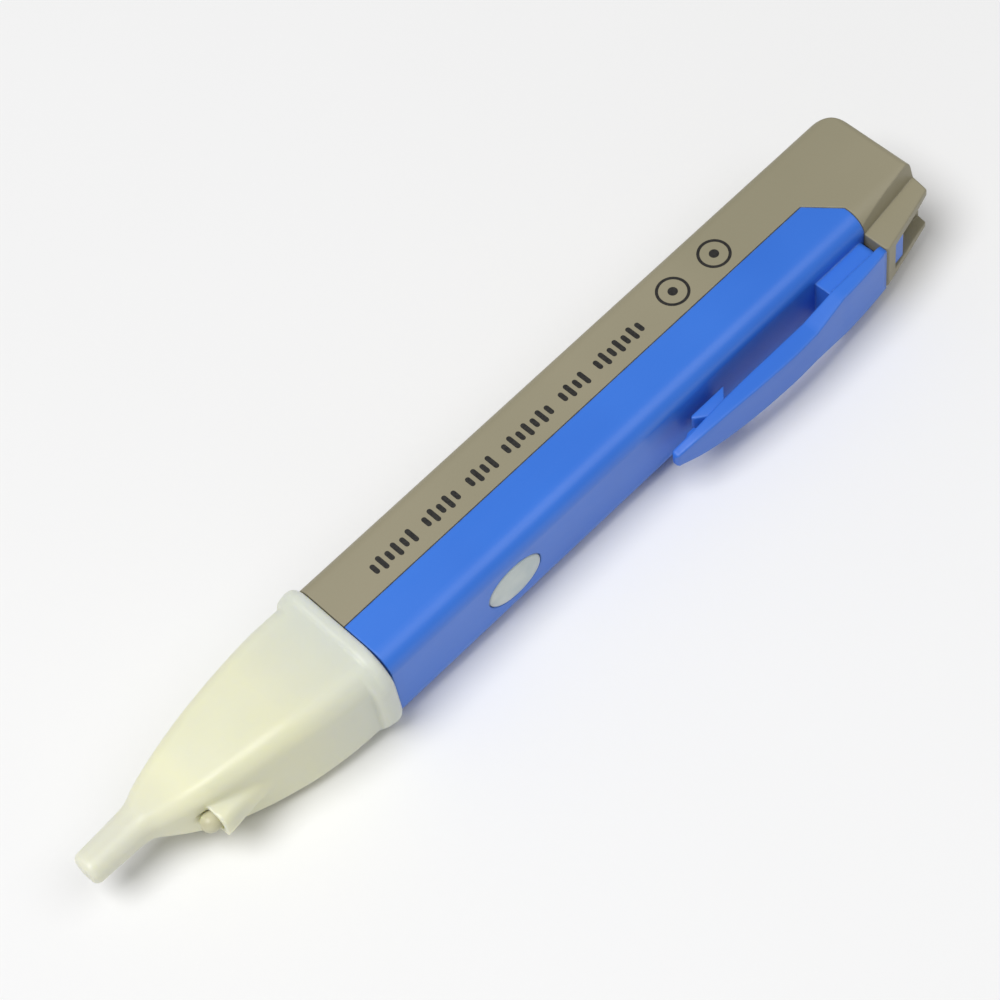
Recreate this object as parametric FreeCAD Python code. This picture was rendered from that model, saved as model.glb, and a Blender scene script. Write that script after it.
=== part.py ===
import FreeCAD, Part
import math
import os

# Pen-shaped non contact voltage tester, lying on its side, in millimetres.
# The shapes are drawn in the pen's own axes: x runs from the nose (0) to the cap,
# -y is the front (button and clip), +y is the back, and z = 0 is the plane of symmetry.
# export_node() then moves every piece so that the origin is under the middle of the pen.

V = FreeCAD.Vector
X_AXIS = V(1, 0, 0)
Y_AXIS = V(0, 1, 0)

# Outside of the handle
LENGTH = 155.0
BODY_DEPTH = 18.2
BODY_WIDTH = 15.5
BACK_CORNER = 2.0
FRONT_CORNER = 3.2
WALL = 1.4
SEAM_Y = -0.4
SEAM_GAP = 0.15
COVER_END_X = 142.5
COVER_CHAMFER_X = 138.6
COVER_CHAMFER_Y = -5.3
CAP_FRONT_Y = -7.55
CAP_DRAFT = 0.28
SLANT_LEAD = 0.6
CAP_CORNER = 5.4
END_ROUNDING = 1.2

# Probe tip
# Stations along x: (x, front y, back y, half width, front corner radius, back corner radius)
NOSE_END = (0.0, 0.45, 5.3, 2.25, 1.9, 1.9)
NOSE_ROOT = (12.5, 0.15, 6.0, 2.6, 2.1, 2.1)
NOSE_ROUNDING = 0.9
CONE = [
    (9.6, 0.5, 5.75, 2.45, 1.9, 1.9),
    (12.0, -1.1, 6.4, 3.4, 2.0, 1.9),
    (16.0, -3.1, 6.95, 5.2, 2.2, 2.0),
    (22.0, -5.3, 7.65, 7.1, 2.5, 2.3),
    (30.0, -7.4, 8.5, 8.3, 3.1, 2.6),
    (37.0, -8.65, 9.1, 8.6, 3.7, 2.8),
    (44.5, -9.3, 9.4, 8.2, 4.3, 3.0),
]
TIP_WALL = 1.3
COLLAR_FRONT_Y = -10.4
COLLAR_BACK_Y = 10.5
COLLAR_HALF = 8.7
COLLAR_FLARE = [
    (41.4, -8.8, 9.0, 8.2, 3.9, 2.9),
    (43.6, -9.45, 9.55, 8.45, 4.6, 3.1),
    (45.0, COLLAR_FRONT_Y, COLLAR_BACK_Y, COLLAR_HALF, 5.5, 3.6),
]
COLLAR_END = 46.4
COLLAR_ROUNDING = 0.4
SHELL_START = 46.65
NECK_END = 52.5
NECK_GAP = 0.12
NECK_WALL = 1.0
NECK_RIB_X = 49.4
NECK_RIB_WIDTH = 0.8
NECK_RIB_HALF = 3.0
NECK_RIB_HEIGHT = 0.35

# Sensing antenna in the nose
SENSOR_Y = 3.1
SENSOR_RADIUS = 0.8
SENSOR_START = 2.5
SENSOR_END = 23.0
SENSOR_BORE_END = 18.0
SENSOR_GAP = 0.15

# Torch lamp under its hood
TORCH_Y = -4.35
TORCH_START = 14.9
TORCH_LENGTH = 6.2
TORCH_RADIUS = 1.5
TORCH_FLANGE = 1.7
HOOD_START = 17.1
HOOD_END = 27.0
HOOD_HALF = 2.7
HOOD_END_HALF = 1.9
HOOD_BACK_Y = -2.6
HOOD_CORNER = 1.6
HOOD_BACK_CORNER = 0.3
HOOD_BORE = 1.8
HOOD_BORE_START = 14.1
HOOD_BORE_END = 33.0

# Pocket clip
CLIP_TIP_X = 98.3
CLIP_TIP_RADIUS = 0.7
CLIP_TIP_HALF = 1.6
CLIP_INNER_Y = -12.1
CLIP_PEAK_Y = -15.05
CLIP_END_Y = -13.45
CLIP_ARM_HALF = 3.4
CLIP_ROOT_X = 132.3
CLIP_ROOT_HALF = 4.7
CLIP_ROOT_END = 142.35
CLIP_ROOT_CORNER = 0.3
# Outer face in the side view (x, y), and the arm's edge in the front view (x, half width)
CLIP_OUTER = [(99.0, -13.1), (103.0, -13.75), (110.0, -14.5), (121.0, CLIP_PEAK_Y), (132.5, -14.3)]
CLIP_EDGE = [(99.4, CLIP_TIP_HALF), (103.0, 2.5), (108.0, 3.15), (114.0, CLIP_ARM_HALF),
             (125.8, CLIP_ARM_HALF)]
CLIP_PIVOT_X = 131.5
CLIP_PIVOT_RADIUS = 1.2
CLIP_PIVOT_GAP = 0.1
LUG_START = 103.9
LUG_END = 110.9
LUG_TOP_Y = -10.35
LUG_HALF = 2.7
LUG_UNDERCUT = 2.0
TIP_RIB_START = 100.1
TIP_RIB_END = 103.9
TIP_RIB_HEIGHT = 0.75
RAIL_START = 131.8
RAIL_HALF = 3.9
RAIL_ROUNDING = 1.2

# Hump and latch on the cap
HUMP_START = 142.6
HUMP_HALF = 4.63
HUMP_SHOULDER = (151.8, -11.3)
HUMP_END = (154.5, -10.6)
HUMP_EDGE = 0.35
SLOT_START = 145.05
SLOT_HALF = 2.9
SLOT_FLARE_X = 150.8
SLOT_END_HALF = 3.4
BRIDGE_THICKNESS = 0.95
BRIDGE_OUTER_Y = -13.42
LATCH_HALF = 1.85
LATCH_THICKNESS = 0.75
LATCH_TAB_START = 145.4
LATCH_TAB_END = 147.45
LATCH_HOOK_X = 141.8
LATCH_PIN_X = 149.5
LATCH_PIN_Y = -8.9
LATCH_BLADE_Y = -10.45
LATCH_TAB_TOP_Y = -12.55
LATCH_TAB_HALF = 2.6
LATCH_PIN_RADIUS = 0.4
LATCH_PIN_GAP = 0.05
LATCH_PIN_HALF = 4.0
LATCH_EYE_RADIUS = 0.75
CATCH_GAP = 0.15

# Power button and its switch
BUTTON_X = 69.6
BUTTON_LENGTH = 9.9
BUTTON_WIDTH = 7.0
BUTTON_GAP = 0.15
BUTTON_PROUD = 0.45
BUTTON_EDGE = 0.4
BUTTON_FLANGE = 0.8
BUTTON_FLANGE_FRONT = 0.9
BUTTON_FLANGE_BACK = 1.5
SWITCH_SIDE = 6.0
SWITCH_HEIGHT = 1.2
PLUNGER_RADIUS = 1.6

# Electronics and batteries
BOARD_START = 31.0
BOARD_END = 86.0
BOARD_HALF = 4.9
BOARD_TOP = -4.6
BOARD_THICKNESS = 1.0
BATTERY_RADIUS = 5.25
BATTERY_LENGTH = 44.5
BATTERY_Y = 2.1
BATTERY_START = 57.1
NUB_LENGTH = 0.9
NUB_RADIUS = 1.9
CRADLE_START = 55.8
CRADLE_END = 152.6
CRADLE_FLOOR_TOP = -3.4
CRADLE_FLOOR = 0.9
CRADLE_HALF = 5.35
CRADLE_END_WALL = 0.9
CRADLE_TOP_Y = 5.5
CONTACT = 0.3
STRIP_Z = -3.6
STRIP_WIDTH = 2.4
SUPPORT_PLACES = (92.0, 108.0, 124.0)
SUPPORT_THICKNESS = 1.2
SCREW_X = 54.2
SCREW_Z = 3.4
SCREW_RADIUS = 0.7
SCREW_HEAD_RADIUS = 1.3
BOSS_RADIUS = 1.5

# Worked out from the dimensions above
BODY_FRONT = -BODY_DEPTH / 2
BODY_BACK = BODY_DEPTH / 2
BODY_HALF = BODY_WIDTH / 2
INNER_FRONT = BODY_FRONT + WALL
INNER_BACK = BODY_BACK - WALL
INNER_HALF = BODY_HALF - WALL
BOARD_UNDER = BOARD_TOP - BOARD_THICKNESS
CLIP_PIVOT_Y = CLIP_INNER_Y - CLIP_PIVOT_RADIUS
ORIGIN = V(-LENGTH / 2, -(CLIP_PEAK_Y + COLLAR_BACK_Y) / 2, COLLAR_HALF)


# ---- drawing helpers -------------------------------------------------------------

def box(x0, x1, y0, y1, z0, z1):
    return Part.makeBox(x1 - x0, y1 - y0, z1 - z0, V(x0, y0, z0))


def rod_x(x0, x1, y, z, radius):
    return Part.makeCylinder(radius, x1 - x0, V(x0, y, z), X_AXIS)


def rod_y(y0, y1, x, z, radius):
    return Part.makeCylinder(radius, y1 - y0, V(x, y0, z), Y_AXIS)


def rod_z(half, x, y, radius):
    return Part.makeCylinder(radius, 2 * half, V(x, y, -half))


def corner_arc(x, y, z, radius, start_degrees):
    """Quarter circle in the plane x, about (y, z), turning from +y towards +z."""
    points = []
    for turn in (0, 45, 90):
        angle = math.radians(start_degrees + turn)
        points.append(V(x, y + radius * math.cos(angle), z + radius * math.sin(angle)))
    return Part.Arc(*points).toShape()


def section(x, front, back, half, front_radius, back_radius=None):
    """Rounded rectangle across the pen at x."""
    if back_radius is None:
        back_radius = front_radius
    arcs = [
        corner_arc(x, back - back_radius, half - back_radius, back_radius, 0),
        corner_arc(x, front + front_radius, half - front_radius, front_radius, 90),
        corner_arc(x, front + front_radius, front_radius - half, front_radius, 180),
        corner_arc(x, back - back_radius, back_radius - half, back_radius, 270),
    ]
    edges = []
    for arc, following in zip(arcs, arcs[1:] + arcs[:1]):
        edges.append(arc)
        edges.append(Part.makeLine(arc.lastVertex().Point, following.firstVertex().Point))
    return Part.Wire(edges)


def bar(x0, x1, front, back, half, front_radius, back_radius=None):
    """Rounded bar along the pen."""
    wire = section(x0, front, back, half, front_radius, back_radius)
    return Part.Face(wire).extrude(V(x1 - x0, 0, 0))


def loft(stations):
    wires = [section(*station) for station in stations]
    return Part.makeLoft(wires, True, False)


def side_prism(points, half):
    """Outline in the side view (x, y), as thick as 2 * half across the pen."""
    corners = [V(x, y, -half) for x, y in points]
    face = Part.Face(Part.makePolygon(corners + corners[:1]))
    return face.extrude(V(0, 0, 2 * half))


def face_prism(wire, half):
    """Closed side-view wire drawn at z = -half, as thick as 2 * half."""
    return Part.Face(wire).extrude(V(0, 0, 2 * half))


def oval(x, z, length, width, y0, y1):
    ellipse = Part.Ellipse(V(x, y0, z), length / 2, width / 2)
    ellipse.Axis = Y_AXIS
    return Part.Face(Part.Wire(ellipse.toShape())).extrude(V(0, y1 - y0, 0))


def bent_wire(points, radius):
    """Round wire through the points, with a ball at each bend."""
    pieces = []
    for start, end in zip(points, points[1:]):
        run = V(*end) - V(*start)
        pieces.append(Part.makeCylinder(radius, run.Length, V(*start), run))
    for point in points[1:-1]:
        pieces.append(Part.makeSphere(radius, V(*point)))
    return pieces[0].multiFuse(pieces[1:]).removeSplitter()


def edges_near(shape, test):
    return [edge for edge in shape.Edges if test(edge.BoundBox)]


def export_node(name, shape):
    placed = shape.copy()
    placed.translate(ORIGIN)
    placed.exportStep("parts/" + name + ".step")


# ---- probe tip -------------------------------------------------------------------

def inner_station(station, forward):
    x, front, back, half, front_radius, back_radius = station
    radii = (front_radius - TIP_WALL / 2, back_radius - TIP_WALL / 2)
    return (x + forward, front + TIP_WALL, back - TIP_WALL, half - TIP_WALL) + radii


def nose():
    shape = loft([NOSE_END, NOSE_ROOT])
    rim = edges_near(shape, lambda b: b.XMax < NOSE_END[0] + 0.01)
    return shape.makeFillet(NOSE_ROUNDING, rim)


def collar():
    """Lip against the handle, flaring out of the cone."""
    lip_start = COLLAR_FLARE[-1][0]
    ring = bar(lip_start, COLLAR_END, *COLLAR_FLARE[-1][1:])
    rims = edges_near(ring, lambda b: b.XLength < 0.01 and b.XMin > COLLAR_END - 0.01)
    return ring.makeFillet(COLLAR_ROUNDING, rims).fuse(loft(COLLAR_FLARE))


def hood():
    """Shade over the torch lamp, blending back into the cone."""
    corners = (HOOD_CORNER, HOOD_BACK_CORNER)
    mouth = (HOOD_START, TORCH_Y - HOOD_HALF, HOOD_BACK_Y, HOOD_HALF) + corners
    end = (HOOD_END, TORCH_Y - HOOD_END_HALF, HOOD_BACK_Y, HOOD_END_HALF) + corners
    return loft([mouth, end])


def neck(x0, x1, gap, front_radius, back_radius):
    return bar(x0, x1, INNER_FRONT + gap, INNER_BACK - gap, INNER_HALF - gap, front_radius, back_radius)


def neck_rib():
    """Catch on the neck that holds the tip in the front shell."""
    return box(NECK_RIB_X, NECK_RIB_X + NECK_RIB_WIDTH, INNER_FRONT - NECK_RIB_HEIGHT,
               INNER_FRONT + NECK_GAP + NECK_WALL / 2, -NECK_RIB_HALF, NECK_RIB_HALF)


def probe_tip():
    outside = loft(CONE).multiFuse([nose(), collar(), hood()])
    outside = outside.fuse(neck(COLLAR_END - 0.5, NECK_END, NECK_GAP, 1.8, 1.0))
    outside = outside.fuse(neck_rib())
    bore_gap = NECK_GAP + NECK_WALL
    mouth = (COLLAR_END, INNER_FRONT + bore_gap, INNER_BACK - bore_gap, INNER_HALF - bore_gap, 1.2, 1.2)
    hollow = loft([inner_station(station, 1.0) for station in CONE[2:5]] + [mouth])
    neck_bore = neck(COLLAR_END - 0.01, NECK_END + 1, bore_gap, 1.2, 1.2)
    lamp_bore = rod_x(HOOD_BORE_START, HOOD_BORE_END, TORCH_Y, 0, HOOD_BORE)
    sensor_bore = rod_x(SENSOR_START - 0.5, SENSOR_BORE_END, SENSOR_Y, 0, SENSOR_RADIUS + SENSOR_GAP)
    return outside.cut(hollow).cut(neck_bore).cut(lamp_bore).cut(sensor_bore)


# ---- handle shells ---------------------------------------------------------------

def handle_profile(half, inset):
    """Side view of the handle, inset by the wall where the hollow is drawn."""
    back = BODY_BACK - inset
    end = LENGTH - inset
    corner = CAP_CORNER - inset
    bend = V(end - corner * (1 - math.sqrt(0.5)), back - corner * (1 - math.sqrt(0.5)), -half)
    points = [
        V(SHELL_START - 1, back, -half),
        V(end - corner, back, -half),
        V(end, back - corner, -half),
        V(end, CAP_FRONT_Y + inset, -half),
        V(COVER_END_X - SLANT_LEAD, BODY_FRONT + inset, -half),
        V(SHELL_START - 1, BODY_FRONT + inset, -half),
    ]
    edges = [
        Part.makeLine(points[0], points[1]),
        Part.Arc(points[1], bend, points[2]).toShape(),
        Part.makeLine(points[2], points[3]),
        Part.makeLine(points[3], points[4]),
        Part.makeLine(points[4], points[5]),
        Part.makeLine(points[5], points[0]),
    ]
    return face_prism(Part.Wire(edges), half)


def end_plan():
    """Front view of the handle, with the edges of its end face rounded."""
    block = box(SHELL_START - 1, LENGTH, -20, 20, -BODY_HALF, BODY_HALF)
    ends = edges_near(block, lambda b: b.XMin > LENGTH - 0.01 and b.YLength > 1)
    return block.makeFillet(END_ROUNDING, ends)


def cap_flanks():
    """Room left for the cap beside the hump: walls that lean in towards the top."""
    keep = box(0, COVER_END_X, -20, 20, -20, 20)
    height = BODY_HALF + 1 - HUMP_HALF
    wires = []
    for x, front in ((COVER_END_X, BODY_FRONT), (LENGTH, CAP_FRONT_Y)):
        upper = [V(x, front, HUMP_HALF), V(x, front + CAP_DRAFT * height, HUMP_HALF + height),
                 V(x, 20, HUMP_HALF + height)]
        outline = upper + [V(x, p.y, -p.z) for p in reversed(upper)]
        wires.append(Part.makePolygon(outline + outline[:1]))
    return keep.fuse(Part.makeLoft(wires, True, True))


def handle_outside():
    whole = bar(SHELL_START, LENGTH, BODY_FRONT, BODY_BACK, BODY_HALF, FRONT_CORNER, BACK_CORNER)
    return whole.common(handle_profile(BODY_HALF + 1, 0)).common(end_plan()).common(cap_flanks())


def handle_hollow():
    whole = bar(SHELL_START - 1, LENGTH, INNER_FRONT, INNER_BACK, INNER_HALF, 1.8, 1.0)
    return whole.common(handle_profile(BODY_HALF, WALL))


def cover_region(gap):
    """Side view of everything that belongs to the back cover."""
    return side_prism([
        (SHELL_START - 2, SEAM_Y + gap),
        (COVER_CHAMFER_X, SEAM_Y + gap),
        (COVER_END_X + gap, COVER_CHAMFER_Y),
        (COVER_END_X + gap, -30),
        (LENGTH + 5, -30),
        (LENGTH + 5, 20),
        (SHELL_START - 2, 20),
    ], BODY_HALF + 3)


def rail_groove(side, gap):
    """Groove in the cover's wall, or the bead that runs in it when gap is less than 0."""
    inner = INNER_HALF - 0.2
    outer = INNER_HALF + 0.5 + gap
    z0, z1 = sorted((side * inner, side * outer))
    return box(SHELL_START - 1, COVER_CHAMFER_X + 0.5 + 2 * gap, 0.7 - gap, 1.9 + gap, z0, z1)


def hump():
    outline = [
        (HUMP_START, CAP_FRONT_Y + 1),
        (HUMP_START, BRIDGE_OUTER_Y + 0.4),
        (HUMP_START + 0.45, BRIDGE_OUTER_Y),
        HUMP_SHOULDER,
        HUMP_END,
        (LENGTH - 0.05, CAP_FRONT_Y - 0.1),
        (LENGTH - 0.5, CAP_FRONT_Y + 1),
    ]
    block = side_prism(outline, HUMP_HALF)
    long_edges = edges_near(block, lambda b: b.YMax < -10.5 and b.XLength > 2 and b.ZLength < 0.01)
    return block.makeFillet(HUMP_EDGE, long_edges)


def latch_slot():
    """Slot between the two flanges, and the tunnel under the bridge."""
    y = -20.0
    side = [V(SLOT_START, y, SLOT_HALF), V(SLOT_FLARE_X, y, SLOT_HALF), V(LENGTH, y, SLOT_END_HALF)]
    outline = side + [V(p.x, y, -p.z) for p in reversed(side)]
    slot = Part.Face(Part.makePolygon(outline + outline[:1])).extrude(V(0, BODY_FRONT + 0.1 - y, 0))
    tunnel = box(HUMP_START - 1, SLOT_START + 1, BRIDGE_OUTER_Y + BRIDGE_THICKNESS, BODY_FRONT + 0.1,
                 -LATCH_HALF - CATCH_GAP, LATCH_HALF + CATCH_GAP)
    pin_hole = rod_z(LATCH_PIN_HALF, LATCH_PIN_X, LATCH_PIN_Y, LATCH_PIN_RADIUS)
    eye_room = rod_z(LATCH_HALF + CATCH_GAP, LATCH_PIN_X, LATCH_PIN_Y, LATCH_EYE_RADIUS + CATCH_GAP)
    blade_room = box(LATCH_TAB_END, LATCH_PIN_X, BODY_FRONT - 1, LATCH_PIN_Y + LATCH_EYE_RADIUS,
                     -LATCH_HALF - CATCH_GAP, LATCH_HALF + CATCH_GAP)
    return slot.multiFuse([tunnel, pin_hole, eye_room, blade_room])


def rear_shell():
    shape = handle_outside().common(cover_region(SEAM_GAP))
    shape = shape.fuse(hump())
    shape = shape.cut(latch_slot())
    shape = shape.cut(handle_hollow())
    for side in (-1, 1):
        shape = shape.cut(rail_groove(side, 0.0))
    return shape


def seam_lip(side):
    """Lip of the front shell inside the cover, with the bead that runs in its groove."""
    x0 = NECK_END + 1.5
    x1 = COVER_CHAMFER_X - 1.5
    front = INNER_FRONT + 1.5
    top = 1.6
    inner = INNER_HALF - 0.75

    def strip(y0, y1, outer):
        z0, z1 = sorted((side * inner, side * outer))
        return box(x0, x1, y0, y1, z0, z1)

    lip = strip(front, top, INNER_HALF - 0.15)
    bead = strip(0.9, top, INNER_HALF + 0.3)
    root = strip(front, SEAM_Y - 0.6, INNER_HALF + 0.2)
    return lip.multiFuse([bead, root])


def support_ribs():
    """Cross ribs under the battery cradle, open where the contact strip passes."""
    top = CRADLE_FLOOR_TOP - CRADLE_FLOOR
    passage = (STRIP_Z - STRIP_WIDTH / 2 - 0.2, STRIP_Z + STRIP_WIDTH / 2 + 0.2)
    ribs = []
    for x in SUPPORT_PLACES:
        rib = box(x, x + SUPPORT_THICKNESS, INNER_FRONT - 0.2, top, -INNER_HALF - 0.2, INNER_HALF + 0.2)
        ribs.append(rib.cut(box(x - 1, x + SUPPORT_THICKNESS + 1, top - 0.4, top + 1, *passage)))
    return ribs


def screw_bosses():
    return [rod_y(INNER_FRONT - 0.2, BOARD_UNDER, SCREW_X, side * SCREW_Z, BOSS_RADIUS) for side in (-1, 1)]


def clip_outline():
    """Side view of the clip, root and arm together, with its outer face as one curve."""
    face = [V(x, y, 0) for x, y in CLIP_OUTER] + [V(CLIP_ROOT_END, CLIP_END_Y, 0)]
    outer = Part.BSplineCurve()
    outer.interpolate(face)
    lower_tip = V(face[0].x, face[0].y + 2 * CLIP_TIP_RADIUS, 0)
    nose_tip = V(CLIP_TIP_X, face[0].y + CLIP_TIP_RADIUS, 0)
    arm_inner = V(face[1].x, CLIP_INNER_Y, 0)
    root_inner = V(CLIP_ROOT_END, CLIP_INNER_Y, 0)
    edges = [
        outer.toShape(),
        Part.makeLine(face[-1], root_inner),
        Part.makeLine(root_inner, arm_inner),
        Part.makeLine(arm_inner, lower_tip),
        Part.Arc(lower_tip, nose_tip, face[0]).toShape(),
    ]
    wire = Part.Wire(edges)
    wire.translate(V(0, 0, -CLIP_ROOT_HALF))
    return face_prism(wire, CLIP_ROOT_HALF)


def clip_plan():
    """Front view of the clip: rounded tip, slim arm, wide root with rounded end corners."""
    y = -20.0
    arm = [V(x, y, half) for x, half in CLIP_EDGE]
    tip = arm[0]
    root = [
        arm[-1],
        V(CLIP_ROOT_X, y, CLIP_ROOT_HALF),
        V(CLIP_ROOT_END - CLIP_ROOT_CORNER, y, CLIP_ROOT_HALF),
        V(CLIP_ROOT_END, y, CLIP_ROOT_HALF - CLIP_ROOT_CORNER),
    ]
    edges = []
    for side in (1, -1):
        curve = Part.BSplineCurve()
        curve.interpolate([V(p.x, y, side * p.z) for p in arm])
        edges.append(curve.toShape())
        edges += Part.makePolygon([V(p.x, y, side * p.z) for p in root]).Edges
    edges.append(Part.makeLine(root[-1], V(root[-1].x, y, -root[-1].z)))
    edges.append(Part.Arc(V(tip.x, y, -tip.z), V(CLIP_TIP_X, y, 0), tip).toShape())
    outline = Part.Wire(Part.__sortEdges__(edges))
    return Part.Face(outline).extrude(V(0, 12, 0))


def clip_blank():
    return clip_outline().common(clip_plan())


def clip_seat():
    """Round seat in the clip's root where the arm bends."""
    return rod_z(10, CLIP_PIVOT_X, CLIP_PIVOT_Y, CLIP_PIVOT_RADIUS + CLIP_PIVOT_GAP)


def clip_root():
    arm_side = box(CLIP_TIP_X - 5, CLIP_PIVOT_X, -20, -5, -10, 10)
    return clip_blank().cut(arm_side)


def clip_rail():
    """Rail that carries the clip's root on the front shell, rounded at its cap end."""
    rail_end = COVER_END_X - 0.5
    rail = box(RAIL_START, rail_end, CLIP_INNER_Y - 0.2, BODY_FRONT + 1.0, -RAIL_HALF, RAIL_HALF)
    ends = edges_near(rail, lambda b: b.XMin > rail_end - 0.01 and b.YLength > 1)
    return rail.makeFillet(RAIL_ROUNDING, ends)


def latch_catch():
    """Recess in the end of the rail that the latch's hook enters."""
    return box(LATCH_HOOK_X - CATCH_GAP, COVER_END_X + 1, LATCH_BLADE_Y - CATCH_GAP, BODY_FRONT - 0.05,
               -LATCH_HALF - CATCH_GAP, LATCH_HALF + CATCH_GAP)


def button_opening():
    hole = oval(BUTTON_X, 0, BUTTON_LENGTH + 2 * BUTTON_GAP, BUTTON_WIDTH + 2 * BUTTON_GAP,
                BODY_FRONT - 2, INNER_FRONT + 1)
    reach = 2 * (BUTTON_FLANGE + 2 * BUTTON_GAP)
    pocket = oval(BUTTON_X, 0, BUTTON_LENGTH + reach, BUTTON_WIDTH + reach,
                  BODY_FRONT + BUTTON_FLANGE_FRONT - BUTTON_GAP, INNER_FRONT + 1)
    return hole.fuse(pocket)


def front_shell():
    cover_side = cover_region(0.0).fuse(box(COVER_END_X, LENGTH + 5, -30, 20, -20, 20))
    skin = handle_outside().cut(cover_side).cut(handle_hollow())
    keep = skin.multiFuse(screw_bosses() + support_ribs() + [seam_lip(-1), seam_lip(1)])
    keep = keep.multiFuse([clip_rail(), clip_root()])
    keep = keep.cut(clip_seat()).cut(latch_catch()).cut(button_opening())
    room = 0.2
    groove_floor = INNER_FRONT - NECK_RIB_HEIGHT - room / 2
    groove = box(NECK_RIB_X - room, NECK_RIB_X + NECK_RIB_WIDTH + room, groove_floor, INNER_FRONT + 0.1,
                 -NECK_RIB_HALF - room, NECK_RIB_HALF + room)
    keep = keep.cut(groove)
    for side in (-1, 1):
        keep = keep.cut(rod_y(INNER_FRONT - 0.1, BOARD_UNDER, SCREW_X, side * SCREW_Z, SCREW_RADIUS))
    return keep


# ---- clip, latch, button ---------------------------------------------------------

def clip_lug():
    """Gripping lug near the tip, undercut at both ends."""
    foot = CLIP_INNER_Y - 0.3
    return side_prism([
        (LUG_START + LUG_UNDERCUT, foot),
        (LUG_START + 0.3, LUG_TOP_Y - 0.7),
        (LUG_START, LUG_TOP_Y - 0.25),
        (LUG_START + 0.35, LUG_TOP_Y),
        (LUG_END, LUG_TOP_Y),
        (LUG_END - LUG_UNDERCUT, foot),
    ], LUG_HALF)


def clip_tip_rib():
    foot = CLIP_INNER_Y - 0.3
    top = CLIP_INNER_Y + TIP_RIB_HEIGHT
    return side_prism([
        (TIP_RIB_START, foot),
        (TIP_RIB_START + 2.2, top),
        (TIP_RIB_END - 0.4, top),
        (TIP_RIB_END, foot),
    ], CLIP_TIP_HALF)


def pocket_clip():
    keep = box(CLIP_TIP_X - 5, CLIP_PIVOT_X, -20, -5, -10, 10)
    bearing = rod_z(10, CLIP_PIVOT_X, CLIP_PIVOT_Y, CLIP_PIVOT_RADIUS)
    arm = clip_blank().common(keep.fuse(bearing))
    return arm.multiFuse([clip_lug(), clip_tip_rib()]).removeSplitter()


def latch_tongue():
    """Lever on a pin between the flanges: pressing its tab lifts the hook out of the catch."""
    under = LATCH_BLADE_Y + LATCH_THICKNESS
    tab = side_prism([
        (LATCH_TAB_START, LATCH_BLADE_Y + 0.2),
        (LATCH_TAB_START, LATCH_TAB_TOP_Y),
        (LATCH_TAB_END, LATCH_TAB_TOP_Y + 0.3),
        (LATCH_TAB_END, LATCH_BLADE_Y + 0.2),
    ], LATCH_TAB_HALF)
    blade = side_prism([
        (LATCH_HOOK_X, LATCH_BLADE_Y),
        (LATCH_TAB_END, LATCH_BLADE_Y),
        (LATCH_PIN_X, LATCH_PIN_Y - LATCH_THICKNESS / 2),
        (LATCH_PIN_X, LATCH_PIN_Y + LATCH_THICKNESS / 2),
        (LATCH_TAB_END - 0.6, under),
        (LATCH_HOOK_X, under),
    ], LATCH_HALF)
    eye = rod_z(LATCH_HALF, LATCH_PIN_X, LATCH_PIN_Y, LATCH_EYE_RADIUS)
    lever = blade.multiFuse([tab, eye])
    return lever.cut(rod_z(LATCH_HALF + 1, LATCH_PIN_X, LATCH_PIN_Y, LATCH_PIN_RADIUS + LATCH_PIN_GAP))


def latch_pin():
    return rod_z(LATCH_PIN_HALF, LATCH_PIN_X, LATCH_PIN_Y, LATCH_PIN_RADIUS)


def power_button():
    top = BODY_FRONT - BUTTON_PROUD
    key = oval(BUTTON_X, 0, BUTTON_LENGTH, BUTTON_WIDTH, top, BODY_FRONT + 1.2)
    rim = edges_near(key, lambda b: b.YMax < top + 0.01)
    key = key.makeFillet(BUTTON_EDGE, rim)
    flange = oval(BUTTON_X, 0, BUTTON_LENGTH + 2 * BUTTON_FLANGE, BUTTON_WIDTH + 2 * BUTTON_FLANGE,
                  BODY_FRONT + BUTTON_FLANGE_FRONT, BODY_FRONT + BUTTON_FLANGE_BACK)
    return key.fuse(flange).removeSplitter()


def switch_body():
    half = SWITCH_SIDE / 2
    front = BOARD_UNDER - SWITCH_HEIGHT
    case = box(BUTTON_X - half, BUTTON_X + half, front, BOARD_UNDER, -half, half)
    well = rod_y(front - 1, BOARD_UNDER - 0.1, BUTTON_X, 0, PLUNGER_RADIUS + BUTTON_GAP)
    return case.cut(well)


def switch_plunger():
    return rod_y(BODY_FRONT + BUTTON_FLANGE_BACK, BOARD_UNDER - 0.7, BUTTON_X, 0, PLUNGER_RADIUS)


# ---- electronics -----------------------------------------------------------------

def circuit_board():
    board = box(BOARD_START, BOARD_END, BOARD_UNDER, BOARD_TOP, -BOARD_HALF, BOARD_HALF)
    for side in (-1, 1):
        board = board.cut(rod_y(BOARD_UNDER - 1, BOARD_TOP + 1, SCREW_X, side * SCREW_Z, 0.9))
    return board


def sensor_antenna():
    return rod_x(SENSOR_START, SENSOR_END, SENSOR_Y, 0, SENSOR_RADIUS)


def sensor_lead():
    """Wire from the antenna down to its pad at the front end of the board."""
    lead_radius = 0.3
    pad_x = BOARD_START + 2.5
    pad_z = -3.2
    return bent_wire([
        (SENSOR_END, SENSOR_Y, 0),
        (SENSOR_END + 4.0, SENSOR_Y, 0),
        (pad_x - 2.0, -2.0, pad_z + 0.8),
        (pad_x, BOARD_TOP + 0.8, pad_z),
        (pad_x, BOARD_TOP, pad_z),
    ], lead_radius)


def lamp(radius, length, flange):
    """Round lamp along +x with its dome at the origin."""
    dome = Part.makeSphere(radius, V(radius, 0, 0))
    case = Part.makeCylinder(radius, length - radius, V(radius, 0, 0), X_AXIS)
    foot = Part.makeCylinder(flange, 0.8, V(length - 0.8, 0, 0), X_AXIS)
    return dome.multiFuse([case, foot]).removeSplitter()


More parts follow.
